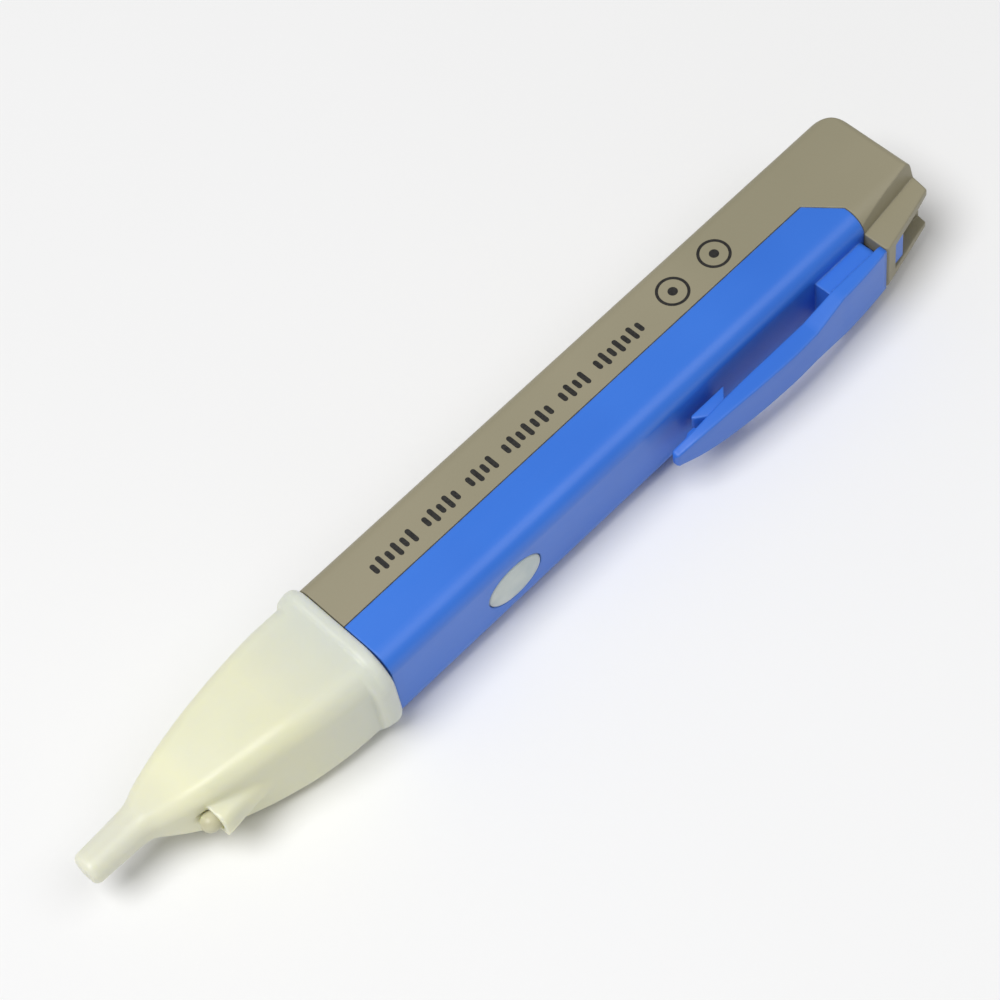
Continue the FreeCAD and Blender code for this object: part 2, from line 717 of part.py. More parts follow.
def torch_led():
    """Lamp under the hood, its two leads lying on the board."""
    case = lamp(TORCH_RADIUS, TORCH_LENGTH, TORCH_FLANGE)
    case.translate(V(TORCH_START, TORCH_Y, 0))
    lead_radius = 0.25
    lead_pitch = 2.54
    lead_start = TORCH_START + TORCH_LENGTH - 0.2
    leads = []
    for side in (-1, 1):
        leads.append(rod_x(lead_start, BOARD_START + 3.5, BOARD_TOP + lead_radius, side * lead_pitch / 2,
                           lead_radius))
    return case.multiFuse(leads)


def indicator_led():
    """Lamp standing on the board, shining through the cone."""
    height = 4.8
    case = lamp(1.5, height, 1.8)
    case.rotate(V(0, 0, 0), V(0, 0, 1), -90)
    case.translate(V(BOARD_START + 6.5, BOARD_TOP + height, 2.4))
    return case


def buzzer():
    """Round can with a sound hole in its lid."""
    x = BOARD_START + 16.6
    height = 3.6
    lid = 0.6
    can = rod_y(BOARD_TOP, BOARD_TOP + height, x, 0, 4.5)
    return can.cut(rod_y(BOARD_TOP + height - lid, BOARD_TOP + height + 1, x, 0, 1.0))


def controller_ic():
    """Small outline case with seven pins along each side."""
    x0 = BOARD_START + 25.6
    length = 8.6
    pin_pitch = 1.27
    pin_half = 0.2
    pin_thickness = 0.25
    case = box(x0, x0 + length, BOARD_UNDER - 1.4, BOARD_UNDER - 0.1, -1.95, 1.95)
    pins = []
    for index in range(7):
        x = x0 + 0.5 + pin_pitch * index
        for side in (-1, 1):
            z0, z1 = sorted((side * 1.8, side * 3.0))
            pins.append(box(x - pin_half, x + pin_half, BOARD_UNDER - pin_thickness, BOARD_UNDER, z0, z1))
    return case.multiFuse(pins)


def chips(places, length, width, height, under):
    """Small surface parts: under is True on the face towards the button."""
    y0 = BOARD_UNDER - height if under else BOARD_TOP
    return Part.makeCompound([
        box(x - length / 2, x + length / 2, y0, y0 + height, z - width / 2, z + width / 2)
        for x, z in places
    ])


def resistors():
    places = [(75.5 + 2.0 * column, z) for column in range(5) for z in (-3.4, 1.2)]
    return chips(places, 0.85, 1.6, 0.45, True)


def capacitors():
    places = [(75.5 + 2.6 * column, 3.8) for column in range(4)] + [(36.0, -1.4), (38.4, -1.4)]
    under = chips(places[:4], 1.3, 1.6, 0.8, True)
    top = chips(places[4:], 1.3, 2.0, 0.9, False)
    return Part.makeCompound([under, top])


def transistors():
    return chips([(76.5, -1.1), (81.0, -1.1)], 2.6, 1.4, 0.95, True)


# ---- batteries, cradle and contacts ----------------------------------------------

def battery(start):
    case_start = start + NUB_LENGTH
    case = rod_x(case_start, start + BATTERY_LENGTH, BATTERY_Y, 0, BATTERY_RADIUS)
    rims = edges_near(case, lambda b: b.XLength < 0.01)
    case = case.makeFillet(0.5, rims)
    return case.fuse(rod_x(start, case_start + 0.3, BATTERY_Y, 0, NUB_RADIUS))


def battery_cradle():
    under = CRADLE_FLOOR_TOP - CRADLE_FLOOR
    bed_start = CRADLE_START + 1.0
    bed_end = CRADLE_END - CRADLE_END_WALL
    wall_half = 4.5
    floor = box(CRADLE_START, CRADLE_END, under, CRADLE_FLOOR_TOP, -CRADLE_HALF, CRADLE_HALF)
    front_wall = box(CRADLE_START, bed_start, under, CRADLE_TOP_Y, -wall_half, wall_half)
    end_wall = box(bed_end, CRADLE_END, under, CRADLE_TOP_Y, -wall_half, wall_half)
    shape = floor.multiFuse([front_wall, end_wall])
    for x in (57.5, 98.0, 118.0, 141.0):
        for side in (-1, 1):
            z0, z1 = sorted((side * (CRADLE_HALF - 0.6), side * CRADLE_HALF))
            shape = shape.fuse(box(x, x + 4, CRADLE_FLOOR_TOP - 0.3, -1.6, z0, z1))
    bed = rod_x(bed_start, bed_end, BATTERY_Y, 0, BATTERY_RADIUS + 0.12)
    notch = box(bed_end - CONTACT, bed_end, under - 1, CRADLE_FLOOR_TOP + 0.1,
                STRIP_Z - STRIP_WIDTH / 2, STRIP_Z + STRIP_WIDTH / 2)
    return shape.cut(bed).cut(notch)


def positive_contact():
    x0 = CRADLE_START + 1.0
    return box(x0, x0 + CONTACT, BATTERY_Y - 2.6, BATTERY_Y + 2.6, -3.0, 3.0)


def positive_lead():
    """Insulated wire from the positive contact over the cradle's wall to the board."""
    lead_radius = 0.4
    pad_x = SCREW_X - 1.0
    return bent_wire([
        (CRADLE_START - lead_radius, 1.0, -3.0),
        (CRADLE_START - 0.9, 1.0, -3.0),
        (pad_x + 0.7, -1.0, -1.2),
        (pad_x, BOARD_TOP + 1.0, 0),
        (pad_x, BOARD_TOP, 0),
    ], lead_radius)


def contact_link():
    """Strip from the spring's plate along the cradle's floor to the board."""
    under = CRADLE_FLOOR_TOP - CRADLE_FLOOR
    z0 = STRIP_Z - STRIP_WIDTH / 2
    z1 = STRIP_Z + STRIP_WIDTH / 2
    plate_x = CRADLE_END - CRADLE_END_WALL - CONTACT
    strip = box(BOARD_END - 4, plate_x + CONTACT, under - CONTACT, under, z0, z1)
    riser = box(plate_x, plate_x + CONTACT, under - CONTACT, BATTERY_Y - 3.2, z0, z1)
    plate = box(plate_x, plate_x + CONTACT, BATTERY_Y - 3.5, BATTERY_Y + 3.5, z0, 3.5)
    return strip.multiFuse([riser, plate]).removeSplitter()


def negative_spring():
    """Coil between the rear cell and the end of the cradle."""
    wire_radius = 0.3
    coil_radius = 2.7
    turns = 3.5
    steps_per_turn = 12
    coil_start = BATTERY_START + 2 * BATTERY_LENGTH + wire_radius
    coil_end = CRADLE_END - CRADLE_END_WALL - CONTACT - wire_radius
    steps = int(turns * steps_per_turn)
    points = []
    for step in range(steps + 1):
        angle = 2 * math.pi * step / steps_per_turn
        x = coil_start + (coil_end - coil_start) * step / steps
        points.append(V(x, BATTERY_Y + coil_radius * math.cos(angle), coil_radius * math.sin(angle)))
    path = Part.BSplineCurve()
    path.interpolate(points)
    start_direction = path.tangent(path.FirstParameter)[0]
    profile = Part.Wire(Part.makeCircle(wire_radius, points[0], start_direction))
    return Part.Wire(path.toShape()).makePipeShell([profile], True, False)


def board_screws():
    """Two cross-head screws that hold the board on its bosses."""
    head_height = 0.8
    slot_depth = 0.35
    slot_long = 0.9
    slot_wide = 0.15
    screws = []
    for side in (-1, 1):
        z = side * SCREW_Z
        screw = rod_y(BOARD_UNDER - 1.6, BOARD_TOP, SCREW_X, z, SCREW_RADIUS)
        screw = screw.fuse(rod_y(BOARD_TOP, BOARD_TOP + head_height, SCREW_X, z, SCREW_HEAD_RADIUS))
        for along, across in ((slot_long, slot_wide), (slot_wide, slot_long)):
            screw = screw.cut(box(SCREW_X - along, SCREW_X + along, BOARD_TOP + head_height - slot_depth,
                                  BOARD_TOP + head_height + 1, z - across, z + across))
        screws.append(screw)
    return Part.makeCompound(screws)


def build():
    return {
        "probe_tip": probe_tip(),
        "rear_shell": rear_shell(),
        "front_shell": front_shell(),
        "pocket_clip": pocket_clip(),
        "latch_tongue": latch_tongue(),
        "latch_pin": latch_pin(),
        "power_button": power_button(),
        "switch_body": switch_body(),
        "switch_plunger": switch_plunger(),
        "circuit_board": circuit_board(),
        "sensor_antenna": sensor_antenna(),
        "sensor_lead": sensor_lead(),
        "torch_led": torch_led(),
        "indicator_led": indicator_led(),
        "buzzer": buzzer(),
        "controller_ic": controller_ic(),
        "resistors": resistors(),
        "capacitors": capacitors(),
        "transistors": transistors(),
        "battery_front": battery(BATTERY_START),
        "battery_rear": battery(BATTERY_START + BATTERY_LENGTH),
        "battery_cradle": battery_cradle(),
        "positive_contact": positive_contact(),
        "positive_lead": positive_lead(),
        "contact_link": contact_link(),
        "negative_spring": negative_spring(),
        "board_screws": board_screws(),
    }


def main():
    os.makedirs("parts", exist_ok=True)
    for name, shape in build().items():
        print(name, "valid", shape.isValid(), "solids", len(shape.Solids), "volume", round(shape.Volume, 2))
        export_node(name, shape)


main()
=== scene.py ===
import bmesh
import bpy
import math
from mathutils import Matrix, Vector


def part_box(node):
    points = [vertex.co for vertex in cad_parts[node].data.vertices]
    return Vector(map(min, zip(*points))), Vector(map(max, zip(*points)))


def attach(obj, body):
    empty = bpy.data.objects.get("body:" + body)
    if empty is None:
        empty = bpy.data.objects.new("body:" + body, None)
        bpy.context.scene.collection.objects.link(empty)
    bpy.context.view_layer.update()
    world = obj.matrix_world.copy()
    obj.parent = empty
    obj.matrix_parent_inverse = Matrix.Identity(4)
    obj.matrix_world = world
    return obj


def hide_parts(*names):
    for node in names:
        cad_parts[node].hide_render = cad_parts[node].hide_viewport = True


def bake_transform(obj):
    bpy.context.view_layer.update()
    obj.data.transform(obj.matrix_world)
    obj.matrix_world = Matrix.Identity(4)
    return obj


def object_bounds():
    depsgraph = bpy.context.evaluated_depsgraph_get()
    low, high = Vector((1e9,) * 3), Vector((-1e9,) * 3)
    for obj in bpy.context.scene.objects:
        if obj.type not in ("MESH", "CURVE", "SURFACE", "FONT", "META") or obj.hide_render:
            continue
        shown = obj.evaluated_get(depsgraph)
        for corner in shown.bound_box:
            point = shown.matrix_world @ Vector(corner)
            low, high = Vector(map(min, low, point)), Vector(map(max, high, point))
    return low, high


# Looks of the pen tester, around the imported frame: materials for every part, finer meshes for
# the tip, the clip and the button, and the solder and printed marks. The pen lies along x with
# its nose at -x, its button and clip towards -y and its printed side up. Shapes are given in
# millimetres in the pen's own axes, and pen() turns them into metres. Materials, lights and the
# camera are in metres.

MM = 0.001

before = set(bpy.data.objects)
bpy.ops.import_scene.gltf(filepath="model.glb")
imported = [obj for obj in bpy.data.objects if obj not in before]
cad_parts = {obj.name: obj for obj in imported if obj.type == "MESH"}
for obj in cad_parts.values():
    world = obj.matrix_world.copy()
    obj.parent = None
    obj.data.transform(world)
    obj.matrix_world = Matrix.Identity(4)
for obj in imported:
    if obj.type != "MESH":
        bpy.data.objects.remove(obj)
cad_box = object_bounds()

# The pen's own axes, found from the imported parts: x from the nose, y across (front is
# negative), z up from the plane of symmetry.
BACK_OF_HANDLE = 9.1
PEN_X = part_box("probe_tip")[0].x
PEN_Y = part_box("rear_shell")[1].y - BACK_OF_HANDLE * MM
PEN_Z = (cad_box[0][2] + cad_box[1][2]) / 2


def pen(x, y, z):
    """Point in the pen's axes, given in millimetres."""
    return Vector((PEN_X + x * MM, PEN_Y + y * MM, PEN_Z + z * MM))


# ---- node-graph helpers ----------------------------------------------------------

class Graph:
    """A material's node tree, with short ways to add the nodes used here."""

    def __init__(self, name):
        self.material = bpy.data.materials.new(name)
        self.material.use_nodes = True
        self.tree = self.material.node_tree
        self.surface = self.tree.nodes["Principled BSDF"]
        coordinates = self.tree.nodes.new("ShaderNodeTexCoord")
        self.place = coordinates.outputs["Object"]

    def link(self, output, target):
        self.tree.links.new(output, target)

    def value(self, socket, number):
        self.surface.inputs[socket].default_value = number

    def noise(self, scale, detail=3.0, roughness=0.5, stretch=(1, 1, 1)):
        mapping = self.tree.nodes.new("ShaderNodeMapping")
        mapping.inputs["Scale"].default_value = stretch
        self.link(self.place, mapping.inputs["Vector"])
        node = self.tree.nodes.new("ShaderNodeTexNoise")
        node.inputs["Scale"].default_value = scale
        node.inputs["Detail"].default_value = detail
        node.inputs["Roughness"].default_value = roughness
        self.link(mapping.outputs["Vector"], node.inputs["Vector"])
        return node.outputs["Fac"]

    def span(self, source, low, high, from_low=0.0, from_high=1.0):
        """The source's range from_low to from_high, turned into low to high and held there."""
        node = self.tree.nodes.new("ShaderNodeMapRange")
        node.inputs["From Min"].default_value = from_low
        node.inputs["From Max"].default_value = from_high
        node.inputs["To Min"].default_value = low
        node.inputs["To Max"].default_value = high
        self.link(source, node.inputs["Value"])
        return node.outputs["Result"]

    def spread(self, noise, low=0.0, high=1.0):
        """The usual range of a noise, spread over low to high."""
        return self.span(noise, low, high, 0.3, 0.7)

    def math(self, operation, first, second):
        node = self.tree.nodes.new("ShaderNodeMath")
        node.operation = operation
        node.use_clamp = True
        for socket, item in zip(node.inputs, (first, second)):
            if isinstance(item, (int, float)):
                socket.default_value = item
            else:
                self.link(item, socket)
        return node.outputs["Value"]

    def mix(self, factor, first, second):
        node = self.tree.nodes.new("ShaderNodeMix")
        node.data_type = "RGBA"
        colours = ((node.inputs[6], first), (node.inputs[7], second))
        for socket, item in ((node.inputs[0], factor),) + colours:
            if isinstance(item, (int, float)):
                socket.default_value = item
            elif isinstance(item, tuple):
                socket.default_value = item + (1.0,)
            else:
                self.link(item, socket)
        return node.outputs[2]

    def position(self, axis):
        node = self.tree.nodes.new("ShaderNodeSeparateXYZ")
        self.link(self.place, node.inputs["Vector"])
        return node.outputs[axis]

    def rounded(self, radius):
        """Normal that turns over each edge as if it were rounded by the radius."""
        bevel = self.tree.nodes.new("ShaderNodeBevel")
        bevel.samples = 6
        bevel.inputs["Radius"].default_value = radius
        return bevel.outputs["Normal"]

    def edge(self, rounded):
        """0 on flat ground, rising to 1 where the rounded normal leaves the true one."""
        geometry = self.tree.nodes.new("ShaderNodeNewGeometry")
        dot = self.tree.nodes.new("ShaderNodeVectorMath")
        dot.operation = "DOT_PRODUCT"
        self.link(rounded, dot.inputs[0])
        self.link(geometry.outputs["Normal"], dot.inputs[1])
        return self.span(dot.outputs["Value"], 1.0, 0.0, 0.75, 0.995)

    def bump(self, height, distance, strength, normal=None):
        node = self.tree.nodes.new("ShaderNodeBump")
        node.inputs["Strength"].default_value = strength
        node.inputs["Distance"].default_value = distance
        self.link(height, node.inputs["Height"])
        if normal is not None:
            self.link(normal, node.inputs["Normal"])
        self.link(node.outputs["Normal"], self.surface.inputs["Normal"])

    def colour(self, output):
        self.link(output, self.surface.inputs["Base Color"])

    def roughness(self, output):
        self.link(output, self.surface.inputs["Roughness"])


def linear(red, green, blue):
    """Linear colour from 0 to 255 screen values."""
    def one(value):
        value = value / 255
        return value / 12.92 if value <= 0.04045 else ((value + 0.055) / 1.055) ** 2.4
    return (one(red), one(green), one(blue))


def moulded(name, base, shade, worn, rough, grain, grain_height, edge_radius, coat=0.0):
    """Injection-moulded plastic: slight shade drift, fine grain, worn edges."""
    graph = Graph(name)
    tone = graph.mix(graph.spread(graph.noise(35, 2.0)), base, shade)
    rounded = graph.rounded(edge_radius)
    patchy = graph.span(graph.noise(600, 3.0), 0.0, 0.7, 0.35, 0.7)
    rubbed = graph.math("MULTIPLY", graph.edge(rounded), patchy)
    graph.colour(graph.mix(rubbed, tone, worn))
    smear = graph.noise(90, 4.0, 0.6, (0.35, 1, 1))
    graph.roughness(graph.spread(smear, rough - 0.05, rough + 0.08))
    graph.bump(graph.noise(grain, 2.0), grain_height, 0.35, rounded)
    graph.value("Coat Weight", coat)
    graph.value("Coat Roughness", 0.3)
    graph.value("IOR", 1.49)
    return graph.material


# ---- materials -------------------------------------------------------------------

# Satin finishes stay rougher than this. The renderer tells gloss from satin at a roughness of
# about 0.27, and a finish that drifts across that value shows faint patches.
LEAST_SATIN = 0.29


def blue_plastic():
    return moulded("blue_plastic", linear(56, 120, 222), linear(49, 111, 212), linear(120, 166, 238),
                   rough=0.36, grain=5200, grain_height=0.00002, edge_radius=0.0004, coat=0.12)


def taupe_plastic():
    return moulded("taupe_plastic", linear(151, 144, 120), linear(144, 138, 114), linear(174, 168, 146),
                   rough=0.46, grain=4200, grain_height=0.00003, edge_radius=0.0004)


def black_plastic():
    return moulded("black_plastic", linear(34, 34, 36), linear(28, 28, 30), linear(66, 66, 68),
                   rough=0.5, grain=5000, grain_height=0.00003, edge_radius=0.0002)


def tip_plastic():
    """Milky plastic that light scatters in: cream, greyer towards the collar as painted shade, and paler
    on the nose.
    """
    graph = Graph("tip_plastic")
    low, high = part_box("probe_tip")
    along = graph.span(graph.position("X"), 0.0, 1.0, low.x, high.x)
    drift = graph.noise(60, 2.0, 0.5, (0.5, 1, 1))
    cream = graph.mix(graph.spread(drift), linear(234, 233, 201), linear(229, 228, 194))
    # Painted shade: the cone greys towards the collar, as though the parts inside kept light from it.
    collar_shade_mask = graph.span(along, 0.0, 1.0, 0.6, 0.86)
    towards_nose = graph.span(along, 1.0, 0.0, 0.12, 0.34)
    shade_near_collar = graph.mix(collar_shade_mask, cream, linear(213, 217, 207))
    graph.colour(graph.mix(towards_nose, shade_near_collar, linear(222, 222, 205)))
    graph.bump(graph.noise(1400, 3.0), 0.00003, 0.25)
    graph.roughness(graph.spread(graph.noise(160, 3.0), LEAST_SATIN, LEAST_SATIN + 0.13))
    graph.value("Subsurface Weight", 0.8)
    graph.value("Subsurface Scale", 0.003)
    graph.value("Subsurface Radius", (1.0, 0.95, 0.6))
    graph.value("IOR", 1.45)
    return graph.material


def button_plastic():
    """Cloudy grey-white plastic that light scatters in."""
    graph = Graph("button_plastic")
    cloud = graph.noise(260, 3.0)
    graph.colour(graph.mix(graph.spread(cloud), linear(208, 216, 210), linear(192, 204, 202)))
    graph.bump(graph.noise(1800, 3.0), 0.00003, 0.3, graph.rounded(0.0004))
    graph.roughness(graph.spread(cloud, LEAST_SATIN, LEAST_SATIN + 0.13))
    graph.value("Subsurface Weight", 0.7)
    graph.value("Subsurface Scale", 0.003)
    graph.value("Subsurface Radius", (0.9, 1.0, 1.0))
    return graph.material


def metal(name, base, shade):
    """Plated metal with fine streaks along the pen."""
    graph = Graph(name)
    streak = graph.noise(900, 4.0, 0.6, (0.1, 1, 1))
    graph.colour(graph.mix(graph.spread(streak), base, shade))
    graph.roughness(graph.spread(graph.noise(700, 3.0), LEAST_SATIN, LEAST_SATIN + 0.15))
    graph.bump(streak, 0.00001, 0.4, graph.rounded(0.0001))
    graph.value("Metallic", 1.0)
    return graph.material


def lamp_resin(name, base, shade, transmission, rough):
    """Cast resin that lets some light through, slightly cloudy."""
    graph = Graph(name)
    cloud = graph.noise(500, 2.0)
    graph.colour(graph.mix(graph.spread(cloud), base, shade))
    graph.roughness(graph.spread(cloud, rough, rough + 0.1))
    graph.bump(graph.noise(1500, 2.0), 0.00001, 0.2)
    graph.value("Transmission Weight", transmission)
    graph.value("IOR", 1.5)
    return graph.material


def board_laminate():
    """Green solder mask over copper tracks that show as raised, lighter bands."""
    graph = Graph("board_laminate")
    wave = graph.tree.nodes.new("ShaderNodeTexWave")
    wave.wave_type = "BANDS"
    wave.bands_direction = "Z"
    wave.inputs["Scale"].default_value = 260
    wave.inputs["Distortion"].default_value = 3.5
    wave.inputs["Detail"].default_value = 0.0
    wave.inputs["Detail Scale"].default_value = 120
    graph.link(graph.place, wave.inputs["Vector"])
    track = graph.span(wave.outputs["Fac"], 0.0, 1.0, 0.62, 0.68)
    graph.colour(graph.mix(track, linear(18, 92, 44), linear(52, 132, 70)))
    graph.roughness(graph.spread(graph.noise(300, 3.0), LEAST_SATIN, LEAST_SATIN + 0.13))
    graph.bump(track, 0.00004, 0.6)
    return graph.material


def cell_wrap(name, start, length):
    """Plain battery sleeve: dark body, copper-coloured band at the end towards the nose."""
    graph = Graph(name)
    along = graph.span(graph.position("X"), 0.0, 1.0, start, start + length)
    band = graph.math("LESS_THAN", along, 0.3)
    streak = graph.noise(800, 3.0, 0.6, (0.05, 1, 1))
    body = graph.mix(graph.spread(streak), linear(36, 38, 44), linear(48, 50, 58))
    graph.colour(graph.mix(band, body, linear(176, 122, 74)))
    graph.roughness(graph.spread(graph.noise(220, 3.0), LEAST_SATIN, LEAST_SATIN + 0.1))
    graph.bump(graph.noise(500, 2.0, 0.5, (0.05, 1, 1)), 0.00003, 0.3)
    graph.value("Metallic", 0.35)
    return graph.material


def ceramic_part():
    """Unglazed tan ceramic of the small board parts."""
    graph = Graph("ceramic_part")
    graph.colour(graph.mix(graph.noise(900, 3.0), linear(176, 142, 96), linear(120, 92, 60)))
    graph.roughness(graph.span(graph.noise(700), 0.4, 0.6))
    graph.bump(graph.noise(2500, 2.0), 0.00002, 0.4)
    return graph.material


def wire_insulation():
    """Red vinyl sleeve."""
    graph = Graph("wire_insulation")
    graph.colour(graph.mix(graph.noise(400, 2.0), linear(176, 28, 24), linear(150, 20, 18)))
    graph.roughness(graph.span(graph.noise(900), 0.35, 0.5))
    graph.bump(graph.noise(2500, 2.0), 0.00002, 0.4)
    return graph.material


def print_ink():
    """Pad-printed ink: nearly black, of slightly uneven density."""
    graph = Graph("print_ink")
    density = graph.noise(2600, 4.0, 0.6)
    thin = graph.span(density, 0.0, 1.0, 0.35, 0.75)
    graph.colour(graph.mix(thin, linear(20, 19, 18), linear(44, 42, 38)))
    graph.roughness(graph.spread(density, 0.4, 0.6))
    graph.bump(density, 0.00001, 0.4)
    return graph.material


def floor_material():
    """Matt, pale studio floor."""
    graph = Graph("studio_floor")
    cloud = graph.noise(6, 3.0)
    graph.colour(graph.mix(graph.spread(cloud), (0.86, 0.86, 0.86), (0.88, 0.88, 0.88)))
    graph.roughness(graph.spread(cloud, 0.7, 0.85))
    graph.bump(graph.noise(900, 3.0), 0.00002, 0.2)
    return graph.material


BLUE = blue_plastic()
TAUPE = taupe_plastic()
BLACK = black_plastic()
TIP = tip_plastic()
BUTTON = button_plastic()
STEEL = metal("steel", linear(196, 196, 198), linear(168, 168, 172))
BRASS = metal("brass", linear(206, 168, 96), linear(180, 140, 74))
SOLDER = metal("solder", linear(206, 208, 210), linear(176, 178, 182))
WHITE_LAMP = lamp_resin("white_lamp", linear(218, 215, 182), linear(204, 199, 164),
                        transmission=0.15, rough=0.3)
RED_LAMP = lamp_resin("red_lamp", linear(214, 40, 34), linear(180, 26, 24),
                      transmission=0.5, rough=0.05)
BOARD = board_laminate()
CERAMIC = ceramic_part()
WIRE = wire_insulation()
INK = print_ink()

PAINT = {
    "probe_tip": TIP,
    "rear_shell": TAUPE,
    "front_shell": BLUE,
    "pocket_clip": BLUE,
    "latch_tongue": BLUE,
    "latch_pin": STEEL,
    "power_button": BUTTON,
    "switch_body": BLACK,
    "switch_plunger": BLACK,
    "circuit_board": BOARD,
    "sensor_antenna": BRASS,
    "sensor_lead": WIRE,
    "torch_led": WHITE_LAMP,
    "indicator_led": RED_LAMP,
    "buzzer": BLACK,
    "controller_ic": BLACK,
    "resistors": CERAMIC,
    "capacitors": CERAMIC,
    "transistors": BLACK,
    "battery_cradle": BLACK,
    "positive_contact": BRASS,
    "positive_lead": WIRE,
    "contact_link": STEEL,
    "negative_spring": STEEL,
    "board_screws": STEEL,
}


def paint(obj, material):
    """Put one material on every slot of an object."""
    if not obj.data.materials:
        obj.data.materials.append(material)
    for index in range(len(obj.data.materials)):
        obj.data.materials[index] = material


def paint_nodes():
    for node, material in PAINT.items():
        paint(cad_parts[node], material)
    for node in ("battery_front", "battery_rear"):
        low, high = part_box(node)
        paint(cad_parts[node], cell_wrap(node + "_wrap", low.x, high.x - low.x))


# ---- mesh helpers ----------------------------------------------------------------

def full_turn(count):
    """Angles of count points evenly round a circle."""
    return [2 * math.pi * index / count for index in range(count)]


def quarter_turn(steps, start=0):
    """Angles over 90 degrees from the start, in equal steps, with both ends."""
    return [math.radians(start + 90 * step / steps) for step in range(steps + 1)]


def ramp(distance, width):
    """0 at no distance, rising evenly to 1 over the width and staying there."""
    return min(max(distance / width, 0.0), 1.0)


def smooth_at(stations, x):
    """All values of a station list at x, on a smooth curve through the stations."""
    index = 0
    while index < len(stations) - 2 and x > stations[index + 1][0]:
        index += 1
    before = stations[max(index - 1, 0)]
    start = stations[index]
    end = stations[index + 1]
    after = stations[min(index + 2, len(stations) - 1)]
    width = end[0] - start[0]
    t = ramp(x - start[0], width)
    values = []
    for item in range(1, len(start)):
        slope_start = (end[item] - before[item]) / (end[0] - before[0])
        slope_end = (after[item] - start[item]) / (after[0] - start[0])
        values.append((2 * t**3 - 3 * t**2 + 1) * start[item] + (t**3 - 2 * t**2 + t) * width * slope_start
                      + (3 * t**2 - 2 * t**3) * end[item] + (t**3 - t**2) * width * slope_end)
    return values


CORNER_STEPS = 8
SIDE_STEPS = 4


def ring_points(x, front, back, half, front_radius, back_radius, inset=0.0):
    """Rounded rectangle across the pen at x: its front and back y, half its width in z, the
    radii of its front and back corners, and how far all of it is drawn in."""
    front, back, half = front + inset, back - inset, half - inset
    largest = min(half, (back - front) / 2) * 0.98
    smallest = 0.05
    front_radius = max(min(front_radius - inset, largest), smallest)
    back_radius = max(min(back_radius - inset, largest), smallest)
    corners = [
        (back - back_radius, half - back_radius, back_radius, 0),
        (front + front_radius, half - front_radius, front_radius, 90),
        (front + front_radius, front_radius - half, front_radius, 180),
        (back - back_radius, back_radius - half, back_radius, 270),
    ]
    arcs = []
    for y, z, radius, start in corners:
        arcs.append([pen(x, y + radius * math.cos(turn), z + radius * math.sin(turn))
                     for turn in quarter_turn(CORNER_STEPS, start)])
    points = []
    for arc, following in zip(arcs, arcs[1:] + arcs[:1]):
        points += arc
        points += [arc[-1].lerp(following[0], step / SIDE_STEPS) for step in range(1, SIDE_STEPS)]
    return points


def skin(mesh, rings):
    """Closed skin over rings with equal numbers of points."""
    loops = [[mesh.verts.new(point) for point in ring] for ring in rings]
    for loop, following in zip(loops, loops[1:]):
        for index in range(len(loop)):
            after = (index + 1) % len(loop)
            mesh.faces.new((loop[index], loop[after], following[after], following[index]))
    mesh.faces.new(loops[0])
    mesh.faces.new(loops[-1][::-1])


def object_from(mesh, name, material):
    bmesh.ops.recalc_face_normals(mesh, faces=mesh.faces)
    data = bpy.data.meshes.new(name)
    mesh.to_mesh(data)
    mesh.free()
    data.materials.append(material)
    obj = bpy.data.objects.new(name, data)
    bpy.context.collection.objects.link(obj)
    return obj


def shade_smooth(obj):
    for polygon in obj.data.polygons:
        polygon.use_smooth = True


def bake_modifiers(obj):
    """Replace the object's mesh with the one its modifiers give."""
    graph = bpy.context.evaluated_depsgraph_get()
    made = bpy.data.meshes.new_from_object(obj.evaluated_get(graph))
    obj.modifiers.clear()
    obj.data = made


# ---- probe tip -------------------------------------------------------------------

# Sections of the cone: x, y of its front and back, half its width in z, and the radii of its
# front and back corners.
TIP_STATIONS = [
    (0.0, 0.45, 5.3, 2.25, 1.9, 1.9),
    (5.0, 0.4, 5.55, 2.4, 2.0, 2.0),
    (9.0, 0.3, 5.75, 2.55, 2.0, 2.0),
    (10.2, 0.0, 5.9, 2.75, 2.0, 2.0),
    (12.0, -1.1, 6.4, 3.5, 2.0, 1.9),
    (16.0, -3.1, 6.95, 5.2, 2.2, 2.0),
    (22.0, -5.3, 7.65, 7.1, 2.5, 2.3),
    (30.0, -7.4, 8.5, 8.3, 3.1, 2.6),
    (37.0, -8.65, 9.1, 8.6, 3.7, 2.8),
    (43.2, -9.25, 9.35, 8.35, 4.2, 3.0),
]
NOSE_ROUNDING = 1.0
NOSE_STEPS = 5
RING_STEP = 0.8
# The collar is a half-round bead, broad on the front and back and narrow on the two sides.
# COLLAR is its section at full height, without x. A crest is the stretch of x at that height,
# and a fall is how far the bead drops from there to the collar's end.
COLLAR = (-10.4, 10.5, 8.7, 5.5, 3.6)
COLLAR_END = 46.4
BEAD_START = 42.8
BEAD_CREST = (44.3, 45.0)
BEAD_FALL = 0.9
SIDE_BEAD_START = 44.3
SIDE_BEAD_CREST = (45.0, 45.6)
SIDE_BEAD_FALL = 0.45
BEAD_STEPS = 38
# The neck is the part inside the front shell, and the hollow opens at its end. In the cone the
# hollow keeps the wall's thickness from HOLLOW_START to HOLLOW_FULL, then narrows to the neck.
NECK = (-7.58, 7.58, 6.23, 1.8, 1.0)
NECK_END = 52.5
NECK_WALL = 1.0
TIP_WALL = 1.3
HOLLOW_START = 18.4
HOLLOW_FULL = 38.0
# The bores run along x from the first number to the second.
LAMP_REACH = (14.1, 21.3)
LAMP_Y = -4.35
LAMP_BORE = 1.8
SENSOR_REACH = (2.0, 20.0)
SENSOR_Y = 3.1
SENSOR_BORE = 0.95
# Sections of the lamp hood, from its mouth back into the cone.
HOOD_STATIONS = [
    (17.1, -7.05, -2.6, 2.7, 1.6, 0.3),
    (22.0, -6.7, -2.6, 2.35, 1.5, 0.3),
    (27.0, -6.25, -2.6, 1.9, 1.4, 0.3),
]
